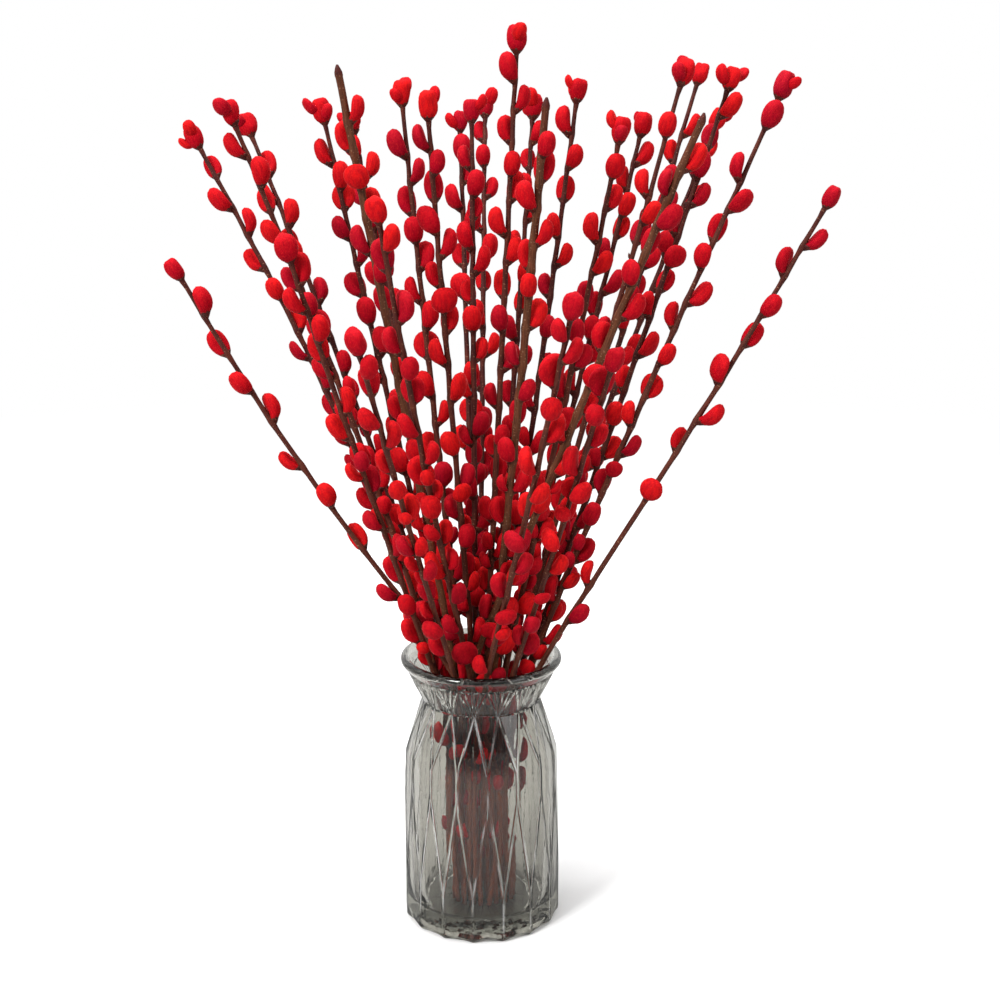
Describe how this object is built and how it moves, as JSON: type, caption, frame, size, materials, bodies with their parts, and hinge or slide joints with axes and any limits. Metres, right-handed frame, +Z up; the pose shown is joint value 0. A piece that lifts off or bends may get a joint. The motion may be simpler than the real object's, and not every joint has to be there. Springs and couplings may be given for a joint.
{
  "type": "willow stems in a glass vase",
  "caption": "Cut pussy willow stems with dyed soft red catkins, fanned out of a faceted smoked glass vase that stands on its flat base.",
  "frame": {"origin": "middle of the vase's underside, on the surface that it stands on", "axes": "+Z up along the vase's axis, -Y towards the front of the arrangement, +X to its right"},
  "size_m": [0.4405, 0.4085, 0.6406],
  "materials": {
    "smoked_glass": "smooth, clear and glossy",
    "bark": "smooth thin bark, satin",
    "catkin": "matt, velvety, short silky hairs",
    "willow": "bark and soft catkins together"
  },
  "bodies": {
    "root": {"vase": "smoked_glass", "stem_01": "willow", "stem_02": "willow", "stem_03": "willow", "stem_04": "willow", "stem_05": "willow", "stem_06": "willow", "stem_07": "willow", "stem_08": "willow", "stem_09": "willow", "stem_10": "willow", "stem_11": "willow", "stem_12": "willow", "stem_13": "willow", "stem_14": "willow", "stem_15": "willow", "stem_16": "willow", "stem_17": "willow", "stem_18": "willow", "stem_19": "willow", "stem_20": "willow", "stem_21": "willow", "stem_22": "willow", "stem_23": "willow", "stem_24": "willow", "stem_25": "willow", "stem_26": "willow", "stem_27": "willow", "stem_28": "willow", "stem_29": "willow", "stem_30": "willow"}
  },
  "joints": []
}
